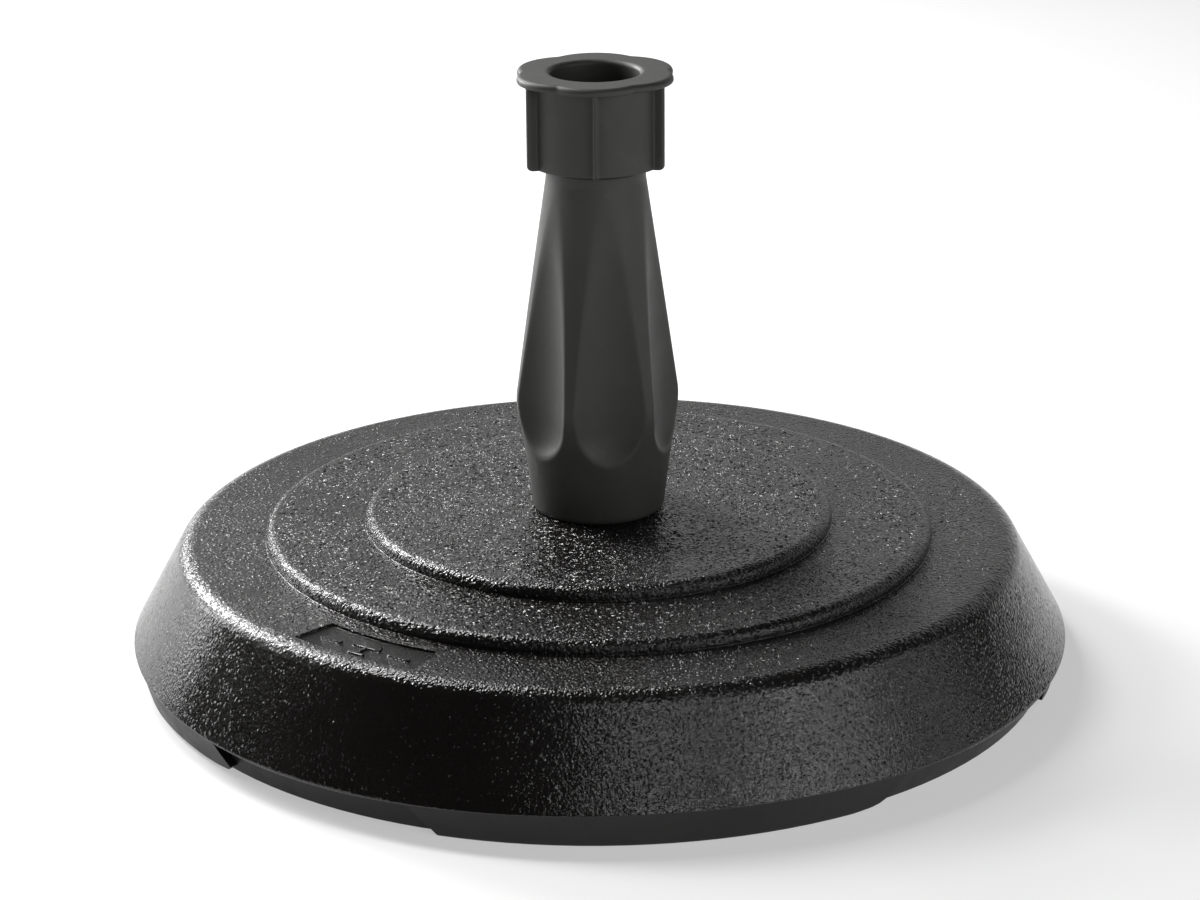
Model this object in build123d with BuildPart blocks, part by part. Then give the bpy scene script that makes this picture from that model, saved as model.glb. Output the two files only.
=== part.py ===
from build123d import *
import math
import os

# Parasol base: a concrete-filled plastic disc with an upright grip tube that
# screws onto the disc's centre, and a hand nut that closes three jaws on the pole.
# Millimetres, +Z up, origin on the floor at the centre of the disc.
# "Front" is -Y. Directions round the axis are given from the front, positive
# towards +X, and turned into ordinary polar angles by polar().

os.makedirs("parts", exist_ok=True)

# ---------------------------------------------------------------- dimensions
RIM_R = 250.0            # widest radius of the disc
RIM_Z = 18.27            # height where the skirt would meet the rim's vertical
LIP_Z = 16.4             # underside of the shell's lip between the feet
SKIRT_DEG = 61.4         # skirt's angle from the horizontal
PLATEAU_R = 221.25       # corner of plateau and skirt, before rounding
PLATEAU_Z = 71.0         # outer plateau
STEP2_R, STEP2_Z = 177.5, 78.0
STEP1_R, STEP1_Z = 124.4, 85.0
WALL = 3.0               # shell wall

PAN_Z = 2.0              # underside of the pan between the feet
PAN_T = 2.5              # pan's plate
PAN_TOP = 19.4           # top of the pan's band, inside the shell
RECESS_R, RECESS_Z = 238.6, 1.0   # lower edge of the finger recesses' leaning wall
FOOT_DIRS = [9.0, 99.0, 189.0, 279.0]      # centre of each foot, from the front
RECESS_DIRS = [-36.0, 54.0, 144.0, 234.0]  # middle of each finger recess
PLAQUE_DIR = -35.2

BORE_R = 23.0            # pole hole of the hub and of the open jaws
SPIGOT_R, SPIGOT_TOP = 29.0, 118.0
THREAD_GAP = 0.06        # running clearance of both threads

TUBE_FOOT = 85.3
NUT_Z0, NUT_Z1 = 273.0, 320.85
FLANGE_Z = 316.85        # underside of the nut's flange
NUT_R = 35.05
RIB_R, RIB_T = 40.45, 2.5
CROWN_R, CROWN_TOP = 31.6, 306.0
THROAT_R = 23.2

SEAT_DEG = 18.0          # half angle of the conical seat
SEAT_Z0, SEAT_Z1 = 274.0, 291.0
SEAT_R0 = 24.08
DROP = 9.0               # the nut's travel
CLOSE = DROP * math.tan(math.radians(SEAT_DEG))   # each jaw's inward travel
JAW_DIRS = [0.0, 120.0, 240.0]

FLUTE_DIR0 = 9.5         # first of six flutes, from the front


def polar(direction):
    """Ordinary polar angle, in degrees, of a direction given from the front."""
    return direction - 90.0


def at(direction, radius, z=0.0):
    a = math.radians(polar(direction))
    return (radius * math.cos(a), radius * math.sin(a), z)


def radial_plane(direction, radius):
    """Plane facing outwards: local x runs along the rim, local y is up."""
    a = math.radians(polar(direction))
    out = (math.cos(a), math.sin(a), 0)
    along = (-math.sin(a), math.cos(a), 0)
    return Plane(origin=(radius * out[0], radius * out[1], 0), x_dir=along, z_dir=out)


def corner(sketch, x, y):
    """The sketch's vertex nearest to a point of its own plane."""
    return sketch.vertices().sort_by(lambda v: (v.X - x) ** 2 + (v.Y - y) ** 2)[0]


SKIRT = math.tan(math.radians(SKIRT_DEG))
INSET = WALL / math.sin(math.radians(SKIRT_DEG))


def skirt_inner_r(z):
    """Radius of the skirt's inside at a height."""
    return PLATEAU_R + (PLATEAU_Z - z) / SKIRT - INSET


# ---------------------------------------------------------------- tool bodies
# Shape of the room inside the shell, down to below the lip.
with BuildPart() as room:
    with BuildSketch(Plane.XZ) as sk:
        with BuildLine():
            Polyline((0, -5), (0, STEP1_Z - WALL), (STEP1_R - WALL, STEP1_Z - WALL),
                     (STEP1_R - WALL, STEP2_Z - WALL), (STEP2_R - WALL, STEP2_Z - WALL),
                     (STEP2_R - WALL, PLATEAU_Z - WALL),
                     (skirt_inner_r(PLATEAU_Z - WALL), PLATEAU_Z - WALL),
                     (RIM_R - WALL, PLATEAU_Z - (RIM_R - WALL - PLATEAU_R + INSET) * SKIRT),
                     (RIM_R - WALL, -5), close=True)
        make_face()
        fillet(corner(sk, skirt_inner_r(PLATEAU_Z - WALL), PLATEAU_Z - WALL), 9.0)
    revolve(axis=Axis.Z)
    # screw posts of the shell stay out of it
    with BuildSketch(Plane.XY.offset(4.6)):
        with PolarLocations(210, 8, start_angle=polar(31.5)):
            Circle(6.0)
    extrude(amount=70, mode=Mode.SUBTRACT)
    # and so do the four bosses for the hub's screws
    with BuildSketch(Plane.XY.offset(78.0)):
        with PolarLocations(46, 4, start_angle=polar(45)):
            Circle(6.0)
    extrude(amount=6, mode=Mode.SUBTRACT)

# Arches in the shell's lip, one over each foot.
with BuildPart() as lip_arches:
    with BuildSketch(*[radial_plane(d, 176) for d in FOOT_DIRS]):
        with BuildLine():
            ThreePointArc((-165, LIP_Z - 0.2), (0, 18.9), (165, LIP_Z - 0.2))
            Polyline((165, LIP_Z - 0.2), (165, 5), (-165, 5), (-165, LIP_Z - 0.2))
        make_face()
    extrude(amount=90)
    with BuildSketch(Plane.XY):
        Circle(RIM_R - WALL - 0.2)
    extrude(amount=30, mode=Mode.SUBTRACT)

# Finger recesses in the pan. The feet between them stand on their middles and lift softly off
# the floor towards their ends; one end of two opposite feet is steep.
with BuildPart() as recess_cuts:
    with BuildSketch(*[radial_plane(d, 160) for d in RECESS_DIRS[0::2]]):
        Polygon((73.5, -2), (72, 0), (68.5, 5), (63.5, 11), (60, LIP_Z + 0.1),
                (-66, LIP_Z + 0.1), (-61, 11), (-55, 5.2), (-57, 3.4), (-66, 2.7), (-80, 2.6),
                (-98, 2.9), (-116, 2.6), (-134, 1.7), (-150, 0.7), (-162, -0.3), (-162, -2), align=None)
    with BuildSketch(*[radial_plane(d, 160) for d in RECESS_DIRS[1::2]]):
        Polygon((-112, -0.5), (-103, 0.2), (-95, 0.8), (-88, 1.6), (-84, 2.6), (-81, 4.4), (-77.5, 9),
                (-74.5, 13), (-71, LIP_Z + 0.1), (66, LIP_Z + 0.1), (63, 11), (61, 7.6), (64, 6.0),
                (75, 4.7), (90, 3.1), (105, 1.7), (120, 0.5), (129, -0.4), (129, -2), (-112, -2), align=None)
    extrude(amount=100)
    with BuildSketch(Plane.XZ):
        with BuildLine():
            Polyline((0, RECESS_Z), (RECESS_R, RECESS_Z), (RECESS_R + 4.6, LIP_Z + 0.1),
                     (RECESS_R + 4.6, 30), (0, 30), close=True)
        make_face()
    revolve(axis=Axis.Z, mode=Mode.SUBTRACT)
    with BuildSketch(Plane.XY.offset(-3)):
        Circle(218)
    extrude(amount=10, mode=Mode.SUBTRACT)

# ---------------------------------------------------------------- base shell
with BuildPart() as base_shell:
    with BuildSketch(Plane.XZ) as sk:
        with BuildLine():
            Polyline((0, LIP_Z), (0, STEP1_Z), (STEP1_R, STEP1_Z), (STEP1_R, STEP2_Z),
                     (STEP2_R, STEP2_Z), (STEP2_R, PLATEAU_Z), (PLATEAU_R, PLATEAU_Z),
                     (RIM_R, RIM_Z), (RIM_R, 17.4), (RIM_R - 0.5, LIP_Z), close=True)
        make_face()
        fillet(corner(sk, STEP1_R, STEP1_Z), 5.5)
        fillet(corner(sk, STEP2_R, STEP2_Z), 5.5)
        fillet(corner(sk, PLATEAU_R, PLATEAU_Z), 12.0)
        fillet(corner(sk, RIM_R, RIM_Z), 2.5)
        fillet(corner(sk, RIM_R, 17.4), 0.9)
        fillet(corner(sk, RIM_R - 0.5, LIP_Z), 0.6)
    revolve(axis=Axis.Z)
    add(room.part, mode=Mode.SUBTRACT)
    # hole for the hub's neck
    with BuildSketch(Plane.XY.offset(60)):
        Circle(30.2)
    extrude(amount=30, mode=Mode.SUBTRACT)
    # arches over the feet
    add(lip_arches.part, mode=Mode.SUBTRACT)
    # pilot holes of the rim posts and of the hub bosses
    with BuildSketch(Plane.XY.offset(4)):
        with PolarLocations(210, 8, start_angle=polar(31.5)):
            Circle(2.05)
    extrude(amount=22, mode=Mode.SUBTRACT)
    with BuildSketch(Plane.XY.offset(77.5)):
        with PolarLocations(46, 4, start_angle=polar(45)):
            Circle(2.25)
    extrude(amount=5.9, mode=Mode.SUBTRACT)
    # plaque field: a shallow sector sunk into the plateau, with a plain raised
    # sunshade sign between two bars
    with BuildSketch(Plane.XY.offset(PLATEAU_Z - 1.2)) as sk:
        with BuildLine():
            a0, a1 = PLAQUE_DIR - 10.1, PLAQUE_DIR + 10.1
            p = [at(a0, 188), at(a0, 212.5), at(a1, 212.5), at(a1, 188)]
            Line(p[0][:2], p[1][:2])
            ThreePointArc(p[1][:2], at(PLAQUE_DIR, 212.5)[:2], p[2][:2])
            Line(p[2][:2], p[3][:2])
            ThreePointArc(p[3][:2], at(PLAQUE_DIR, 188)[:2], p[0][:2])
        make_face()
    extrude(amount=3, mode=Mode.SUBTRACT)
    c = at(PLAQUE_DIR, 200.2, PLATEAU_Z - 1.25)
    a = math.radians(polar(PLAQUE_DIR))
    sign = Plane(origin=c, x_dir=(-math.sin(a), math.cos(a), 0), z_dir=(0, 0, 1))
    with BuildSketch(sign) as sk:
        # canopy, pole and foot plate, seen upright from outside the disc
        with BuildLine():
            ThreePointArc((-8.5, 0.5), (0, 8.2), (8.5, 0.5))
            Line((8.5, 0.5), (-8.5, 0.5))
        make_face()
        with Locations((0, -3.0)):
            Rectangle(1.5, 7.4)
        with Locations((0, -7.2)):
            Rectangle(9.0, 1.6)
        with Locations((-21.0, 0), (21.0, 0)):
            SlotOverall(13.0, 2.6)
    extrude(amount=0.85)
base_shell.part.label = "base_shell"

# ---------------------------------------------------------------- base pan
with BuildPart() as base_pan:
    with BuildSketch(Plane.XY.offset(PAN_Z)):
        Circle(237)
    extrude(amount=PAN_T)
    # band with the feet
    with BuildSketch(Plane.XZ):
        with BuildLine():
            Polyline((221, PAN_Z + 0.6), (221, 1.2), (222.2, 0), (241.9, 0), (243.1, 0.5),
                     (243.6, 1.4), (248.75, 18.6), (246.95, 18.6), (246.95, 15.8), (246.6, 16.2),
                     (246.6, 16.8), (245.7, PAN_TOP), (235.4, PAN_TOP),
                     (235.4, PAN_Z + 0.6), close=True)
        make_face()
    revolve(axis=Axis.Z)
    add(recess_cuts.part, mode=Mode.SUBTRACT)
# the band rises above the lip's level only in the arches
with BuildPart() as ear_cut:
    with BuildSketch(Plane.XZ):
        with BuildLine():
            Polyline((246.7, LIP_Z - 0.15), (262, LIP_Z - 0.15), (262, 22), (246.5, 22),
                     (246.5, PAN_TOP), (246.7, PAN_TOP), close=True)
        make_face()
    revolve(axis=Axis.Z)
    with BuildSketch(*[radial_plane(d, 176) for d in FOOT_DIRS]):
        with BuildLine():
            ThreePointArc((-164.6, LIP_Z - 0.4), (0, 18.7), (164.6, LIP_Z - 0.4))
            Polyline((164.6, LIP_Z - 0.4), (164.6, 5), (-164.6, 5), (-164.6, LIP_Z - 0.4))
        make_face()
    extrude(amount=94, mode=Mode.SUBTRACT)
with base_pan:
    add(ear_cut.part, mode=Mode.SUBTRACT)
    # countersunk holes for the rim posts' screws, entered from below
    with Locations(*[Plane(origin=at(31.5 + 45 * i, 210, PAN_Z), z_dir=(0, 0, -1))
                     for i in range(8)]):
        CounterSinkHole(radius=2.3, counter_sink_radius=4.4, depth=6, counter_sink_angle=90)
    # drain hole, fill hole and vent hole
    with BuildSketch(Plane.XY):
        Circle(5.0)
        with Locations(at(189, 130)[:2]):
            Circle(20.0)
        with Locations(at(9, 130)[:2]):
            Circle(8.0)
    extrude(amount=8, mode=Mode.SUBTRACT)
base_pan.part.label = "base_pan"

# ---------------------------------------------------------------- hub socket
with BuildPart() as hub_socket:
    with BuildSketch(Plane.XZ) as sk:
        with BuildLine():
            Polyline((5, 4.6), (27.5, 4.6), (29.0, 64), (29.0, 74), (58, 74), (58, 78), (26.6, 78),
                     (26.6, 66), (BORE_R, 66), (BORE_R, 8), (5, 8), close=True)
        make_face()
    revolve(axis=Axis.Z)
    # anchor fins that lock the hub in the concrete
    with BuildSketch(Plane.XY.offset(18)):
        with PolarLocations(38, 4, start_angle=polar(0)):
            Rectangle(23, 3)
    extrude(amount=57)
    with BuildSketch(Plane.XY.offset(70)):
        with PolarLocations(46, 4, start_angle=polar(45)):
            Circle(2.8)
    extrude(amount=12, mode=Mode.SUBTRACT)
hub_socket.part.label = "hub_socket"

# Threaded stub above the disc, pushed into the hub's mouth from above.
with BuildPart() as threaded_spigot:
    with BuildSketch(Plane.XZ):
        with BuildLine():
            Polyline((BORE_R, 66), (26.5, 66), (26.5, 78), (29.95, 78), (29.95, 84.6),
                     (SPIGOT_R, 84.6), (SPIGOT_R, SPIGOT_TOP - 1.5), (SPIGOT_R - 1.5, SPIGOT_TOP),
                     (BORE_R, SPIGOT_TOP), close=True)
        make_face()
    revolve(axis=Axis.Z)
threaded_spigot.part.label = "threaded_spigot"

# ---------------------------------------------------------------- hub screws
with BuildPart() as hub_washers:
    with BuildSketch(Plane.XY.offset(72.8)):
        with PolarLocations(46, 4, start_angle=polar(45)):
            Circle(5.6)
            Circle(2.5, mode=Mode.SUBTRACT)
    extrude(amount=1.2)
hub_washers.part.label = "hub_washers"

with BuildPart() as hub_screws:
    with BuildSketch(Plane.XY.offset(69.6)):
        with PolarLocations(46, 4, start_angle=polar(45)):
            Circle(4.4)
    extrude(amount=3.2)
    fillet(hub_screws.edges().group_by(Axis.Z)[0], 1.2)
    with BuildSketch(Plane.XY.offset(72)):
        with PolarLocations(46, 4, start_angle=polar(45)):
            Circle(2.15)
    extrude(amount=11)
    with BuildSketch(Plane.XY.offset(69.6)):
        with PolarLocations(46, 4, start_angle=polar(45)):
            Rectangle(4.6, 0.9)
            Rectangle(0.9, 4.6)
    extrude(amount=1.6, mode=Mode.SUBTRACT)
hub_screws.part.label = "hub_screws"

# ---------------------------------------------------------------- pan screws
with BuildPart() as pan_screws:
    with BuildSketch(Plane.XZ):
        with BuildLine():
            Polyline((0, PAN_Z + 0.1), (4.0, PAN_Z + 0.1), (4.0, PAN_Z + 0.2), (1.95, PAN_Z + 2.25),
                     (1.95, 22.5), (0, 24.5), close=True)
        make_face()
    revolve(axis=Axis.Z)
    with BuildSketch(Plane.XY.offset(PAN_Z)):
        Rectangle(4.4, 0.9)
        Rectangle(0.9, 4.4)
    extrude(amount=1.5, mode=Mode.SUBTRACT)
one_pan_screw = pan_screws.part
with BuildPart() as pan_screws:
    with Locations(*[Location(at(31.5 + 45 * i, 210, 0)) for i in range(8)]):
        add(one_pan_screw)
pan_screws.part.label = "pan_screws"

# ---------------------------------------------------------------- plugs
with BuildPart() as fill_plug:
    with BuildSketch(Plane.XY.offset(0.7)):
        with Locations(at(189, 130)[:2]):
            Circle(23)
    extrude(amount=1.3)
    fillet(fill_plug.edges().group_by(Axis.Z)[0], 0.8)
    with BuildSketch(Plane.XY.offset(1.8)):
        with Locations(at(189, 130)[:2]):
            Circle(19.9)
            Circle(17.4, mode=Mode.SUBTRACT)
    extrude(amount=6.0)
    # coin slot
    with BuildSketch(Plane.XY.offset(0.7)):
        with Locations(at(189, 130)[:2]):
            Rectangle(22, 2.4)
    extrude(amount=0.7, mode=Mode.SUBTRACT)
fill_plug.part.label = "fill_plug"

with BuildPart() as vent_plug:
    with BuildSketch(Plane.XY.offset(0.7)):
        with Locations(at(9, 130)[:2]):
            Circle(10)
    extrude(amount=1.3)
    fillet(vent_plug.edges().group_by(Axis.Z)[0], 0.8)
    with BuildSketch(Plane.XY.offset(1.8)):
        with Locations(at(9, 130)[:2]):
            Circle(7.9)
            Circle(5.9, mode=Mode.SUBTRACT)
    extrude(amount=6.0)
vent_plug.part.label = "vent_plug"

# ---------------------------------------------------------------- ballast
with BuildPart() as concrete_ballast:
    with BuildSketch(Plane.XZ) as sk:
        with BuildLine():
            Polyline((0, PAN_Z + PAN_T + 0.1), (0, STEP1_Z - WALL), (STEP1_R - WALL, STEP1_Z - WALL),
                     (STEP1_R - WALL, STEP2_Z - WALL), (STEP2_R - WALL, STEP2_Z - WALL),
                     (STEP2_R - WALL, PLATEAU_Z - WALL),
                     (skirt_inner_r(PLATEAU_Z - WALL), PLATEAU_Z - WALL),
                     (skirt_inner_r(PAN_TOP + 0.2), PAN_TOP + 0.2),
                     (235.2, PAN_TOP + 0.2), (235.2, PAN_Z + PAN_T + 0.1), close=True)
        make_face()
        fillet(corner(sk, skirt_inner_r(PLATEAU_Z - WALL), PLATEAU_Z - WALL), 9.0)
    revolve(axis=Axis.Z)
    # round the shell's posts and bosses
    with BuildSketch(Plane.XY.offset(4)):
        with PolarLocations(210, 8, start_angle=polar(31.5)):
            Circle(6.0)
    extrude(amount=70, mode=Mode.SUBTRACT)
    with BuildSketch(Plane.XY.offset(78.0)):
        with PolarLocations(46, 4, start_angle=polar(45)):
            Circle(6.0)
    extrude(amount=6, mode=Mode.SUBTRACT)
    # round the hub: cup, fins, flange, neck
    with BuildSketch(Plane.XY.offset(4)):
        Circle(29.0)
    extrude(amount=80, mode=Mode.SUBTRACT)
    with BuildSketch(Plane.XY.offset(18)):
        with PolarLocations(38, 4, start_angle=polar(0)):
            Rectangle(23, 3)
    extrude(amount=57, mode=Mode.SUBTRACT)
    with BuildSketch(Plane.XY.offset(74)):
        Circle(58)
    extrude(amount=4, mode=Mode.SUBTRACT)
    with BuildSketch(Plane.XY.offset(77)):
        Circle(30.2)
    extrude(amount=6, mode=Mode.SUBTRACT)
    with BuildSketch(Plane.XY.offset(69.4)):
        with PolarLocations(46, 4, start_angle=polar(45)):
            Circle(5.7)
    extrude(amount=5, mode=Mode.SUBTRACT)
    # over the two plugs
    with BuildSketch(Plane.XY.offset(4)):
        with Locations(at(189, 130)[:2]):
            Circle(20.2)
        with Locations(at(9, 130)[:2]):
            Circle(8.2)
    extrude(amount=4.2, mode=Mode.SUBTRACT)
concrete_ballast.part.label = "concrete_ballast"

# ---------------------------------------------------------------- grip tube
# Outside: a bottle shape that swells to r 43 and tapers up to the neck.
# Inside: socket for the spigot,
# wide room, neck.
with BuildPart() as pole_tube:
    with BuildSketch(Plane.XZ) as sk:
        with BuildLine():
            Spline((35.0, TUBE_FOOT), (36.8, 101.9), (38.95, 119.0), (41.65, 133.0),
                   tangents=[(0.09, 1.0), (0.2, 1.0)])
            Spline((41.65, 133.0), (42.75, 140.5), (43.0, 147.0), (42.18, 154.06),
                   tangents=[(0.2, 1.0), (-0.1455, 1.0)])
            Polyline((42.18, 154.06), (26.1, 264.6), (25.87, 269.0), (25.87, SEAT_Z0 - 0.05),
                     (23.6, SEAT_Z0 - 0.05), (23.6, 262), (28.5, 190), (28.5, SPIGOT_TOP + 1.2),
                     (SPIGOT_R + THREAD_GAP, SPIGOT_TOP + 1.2), (SPIGOT_R + THREAD_GAP, TUBE_FOOT),
                     (30.2, TUBE_FOOT), (30.2, 86.8), (33.6, 86.8), (33.6, TUBE_FOOT), (35.0, TUBE_FOOT))
        make_face()
        fillet(corner(sk, 35.0, TUBE_FOOT), 1.1)
    revolve(axis=Axis.Z)

# Six flutes. Each is a round-ended rod whose axis leans 2.4 degrees inwards as it rises.
LEAN = math.atan(0.0421)
zc = 138.0
dc = 67.3 - 0.0421 * (zc - 150.0)
flute_plane = Plane(origin=(dc, 0, zc), x_dir=(math.cos(LEAN), 0, math.sin(LEAN)),
                    z_dir=(-math.sin(LEAN), 0, math.cos(LEAN)))
with BuildPart() as flute:
    with BuildSketch(flute_plane):
        Circle(34.3)
    extrude(amount=150)
    with Locations(flute_plane):
        Sphere(34.3)
with pole_tube:
    for i in range(6):
        with Locations(Location((0, 0, 0), (0, 0, polar(FLUTE_DIR0 + 60 * i)))):
            add(flute.part, mode=Mode.SUBTRACT)
pole_tube.part.label = "pole_tube"

# Threaded crown on the tube's neck, hidden inside the nut: seat for the jaws.
with BuildPart() as crown_collar:
    with BuildSketch(Plane.XZ) as sk:
        with BuildLine():
            Polyline((25.9, 270.5), (28.2, 270.5), (CROWN_R, 275.0), (CROWN_R, CROWN_TOP),
                     (29.6, CROWN_TOP), (29.6, SEAT_Z1), (SEAT_R0, SEAT_Z0), (25.9, SEAT_Z0), close=True)
        make_face()
        fillet(corner(sk, CROWN_R, CROWN_TOP), 0.8)
    revolve(axis=Axis.Z)
    # guide ribs between the jaws
    with BuildSketch(Plane.XY.offset(275.0)):
        with PolarLocations(27.6, 3, start_angle=polar(60)):
            Rectangle(5.2, 2.0)
    extrude(amount=15.3)
crown_collar.part.label = "crown_collar"

# ---------------------------------------------------------------- foot gasket
with BuildPart() as foot_gasket:
    with BuildSketch(Plane.XY.offset(STEP1_Z)):
        Circle(33.3)
        Circle(30.5, mode=Mode.SUBTRACT)
    extrude(amount=1.75)
foot_gasket.part.label = "foot_gasket"

# ---------------------------------------------------------------- clamp nut
with BuildPart() as clamp_nut:
    # skirt with its thread bore, roof and the throat that the pole passes
    with BuildSketch(Plane.XZ):
        with BuildLine():
            Polyline((NUT_R, NUT_Z0), (NUT_R + 0.1, FLANGE_Z), (NUT_R + 0.1, NUT_Z1 - 0.5),
                     (THROAT_R, NUT_Z1 - 0.5), (THROAT_R, 302.9), (25.7, 302.9), (25.7, 304.5),
                     (24.6, 304.5), (24.6, 305.9), (25.7, 305.9), (25.7, FLANGE_Z - 1.0),
                     (CROWN_R + THREAD_GAP, FLANGE_Z - 1.0), (CROWN_R + THREAD_GAP, NUT_Z0), close=True)
        make_face()
    revolve(axis=Axis.Z)
    # six lobes of the flange
    with BuildSketch(Plane.XY.offset(FLANGE_Z)) as lobes:
        with PolarLocations(16.0, 6, start_angle=polar(0)):
            Circle(26.3)
        fillet(lobes.vertices().filter_by(lambda v: math.hypot(v.X, v.Y) > 30), 3.0)
        Circle(THROAT_R, mode=Mode.SUBTRACT)
    extrude(amount=NUT_Z1 - FLANGE_Z)
    # six ribs
    for i in range(6):
        a = math.radians(polar(60 * i))
        side = Plane(origin=(0, 0, 0), x_dir=(math.cos(a), math.sin(a), 0),
                     z_dir=(math.sin(a), -math.cos(a), 0))
        with BuildSketch(side) as rib:
            with Locations(((33.5 + RIB_R) / 2, (NUT_Z0 + FLANGE_Z) / 2)):
                Rectangle(RIB_R - 33.5, FLANGE_Z - NUT_Z0)
            fillet(corner(rib, RIB_R, NUT_Z0), 3.0)
        extrude(amount=RIB_T / 2, both=True)
clamp_nut.part.label = "clamp_nut"

# ---------------------------------------------------------------- retaining ring
with BuildPart() as retaining_ring:
    with BuildSketch(Plane.XY.offset(304.6)):
        Circle(27.2)
        Circle(24.7, mode=Mode.SUBTRACT)
        # the ring's gap, where it is spread for fitting
        with Locations((0, 26)):
            Rectangle(3.0, 8, mode=Mode.SUBTRACT)
    extrude(amount=1.2)
retaining_ring.part.label = "retaining_ring"

# ---------------------------------------------------------------- thrust ring
with BuildPart() as thrust_ring:
    with BuildSketch(Plane.XZ):
        with BuildLine():
            Polyline((23.5, 299.7), (29.2, 299.7), (29.2, 308.0), (26.0, 308.0), (26.0, 306.1),
                     (27.5, 306.1), (27.5, 304.3), (26.0, 304.3), (26.0, 302.7), (23.5, 302.7), close=True)
        make_face()
    revolve(axis=Axis.Z)
    # radial slots for the jaws' tenons
    with BuildSketch(Plane.XY.offset(299)):
        with PolarLocations(25.7, 3, start_angle=polar(0)):
            Rectangle(5.9, 6.6)
    extrude(amount=3.7, mode=Mode.SUBTRACT)
thrust_ring.part.label = "thrust_ring"

# ---------------------------------------------------------------- jaws
JAW_Z0 = SEAT_Z0 + 0.5 + DROP      # underside of a jaw, jaws open
JAW_H = 16.0
r_low = SEAT_R0 + 0.5 * math.tan(math.radians(SEAT_DEG)) - 0.32
r_high = r_low + JAW_H * math.tan(math.radians(SEAT_DEG))
for n, d in enumerate(JAW_DIRS, start=1):
    ang = polar(d)
    c, s = math.cos(math.radians(ang)), math.sin(math.radians(ang))
    frame = Plane(origin=(0, 0, 0), x_dir=(c, s, 0), z_dir=(0, 0, 1))
    with BuildPart() as jaw:
        # wedge back: part of a cone that will lie on the seat when the jaw is closed
        with Locations((CLOSE * c, CLOSE * s, JAW_Z0 + JAW_H / 2)):
            Cone(bottom_radius=r_low, top_radius=r_high, height=JAW_H)
        with BuildSketch(frame.offset(JAW_Z0 - 1)):
            Polygon((4.734, 0), (29.734, 43.301), (60, 43.301), (60, -43.301), (29.734, -43.301), align=None)
        extrude(amount=JAW_H + 2, mode=Mode.INTERSECT)
        # rounded back where it runs in the crown's room
        with BuildSketch(Plane.XY.offset(JAW_Z0 - 1)):
            Circle(29.3)
        extrude(amount=JAW_H + 2, mode=Mode.INTERSECT)
        with BuildSketch(Plane.XY.offset(JAW_Z0 - 1)):
            Circle(23.3)
        extrude(amount=JAW_H + 2, mode=Mode.SUBTRACT)
        # pocket for the pad
        with BuildSketch(Plane.XY.offset(JAW_Z0 + 1.5)):
            Circle(24.2)
        extrude(amount=JAW_H - 3, mode=Mode.SUBTRACT)
        # tenon that rides in the thrust ring's slot
        with BuildSketch(frame.offset(JAW_Z0 + JAW_H - 0.5)):
            with Locations((27.5, 0)):
                Rectangle(1.8, 6.0)
        extrude(amount=3.2)
    jaw.part.label = f"jaw_{n}"
    export_step(jaw.part, f"parts/jaw_{n}.step")
    with BuildPart() as pad:
        with BuildSketch(Plane.XY.offset(JAW_Z0 + 1.55)):
            Circle(24.15)
        extrude(amount=JAW_H - 3.1)
        with BuildSketch(frame.offset(JAW_Z0)):
            Polygon((4.734, 0), (29.734, 43.301), (60, 43.301), (60, -43.301), (29.734, -43.301), align=None)
        extrude(amount=JAW_H, mode=Mode.INTERSECT)
        with BuildSketch(Plane.XY.offset(JAW_Z0)):
            Circle(BORE_R)
        extrude(amount=JAW_H, mode=Mode.SUBTRACT)
    pad.part.label = f"jaw_pad_{n}"
    export_step(pad.part, f"parts/jaw_pad_{n}.step")

# ---------------------------------------------------------------- write out
for item in (base_shell, base_pan, concrete_ballast, hub_socket, threaded_spigot, hub_washers,
             hub_screws, pan_screws, fill_plug, vent_plug, pole_tube, crown_collar, foot_gasket, clamp_nut,
             retaining_ring, thrust_ring):
    export_step(item.part, f"parts/{item.part.label}.step")
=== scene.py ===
import math
import bpy
import bmesh
import numpy as np
from mathutils import Matrix, Vector


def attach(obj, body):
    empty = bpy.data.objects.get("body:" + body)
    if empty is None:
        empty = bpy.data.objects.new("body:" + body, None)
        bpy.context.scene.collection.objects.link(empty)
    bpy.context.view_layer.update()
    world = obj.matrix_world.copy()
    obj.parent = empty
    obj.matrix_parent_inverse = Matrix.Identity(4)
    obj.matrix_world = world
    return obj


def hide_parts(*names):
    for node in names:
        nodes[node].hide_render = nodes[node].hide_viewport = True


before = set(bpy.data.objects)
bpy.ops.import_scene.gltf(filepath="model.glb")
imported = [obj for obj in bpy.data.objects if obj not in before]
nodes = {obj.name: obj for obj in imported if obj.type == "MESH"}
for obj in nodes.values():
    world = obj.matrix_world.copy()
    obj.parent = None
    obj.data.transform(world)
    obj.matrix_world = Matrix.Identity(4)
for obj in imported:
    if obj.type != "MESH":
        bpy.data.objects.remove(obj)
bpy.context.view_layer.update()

MM = 0.001


# ------------------------------------------------------------------ helpers
def polar(direction):
    """Polar angle in radians of a direction given from the front (-Y), positive towards +X."""
    return math.radians(direction - 90.0)


def smooth(a, b, x):
    t = np.clip((np.asarray(x, float) - a) / (b - a), 0.0, 1.0)
    return t * t * (3 - 2 * t)


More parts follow.
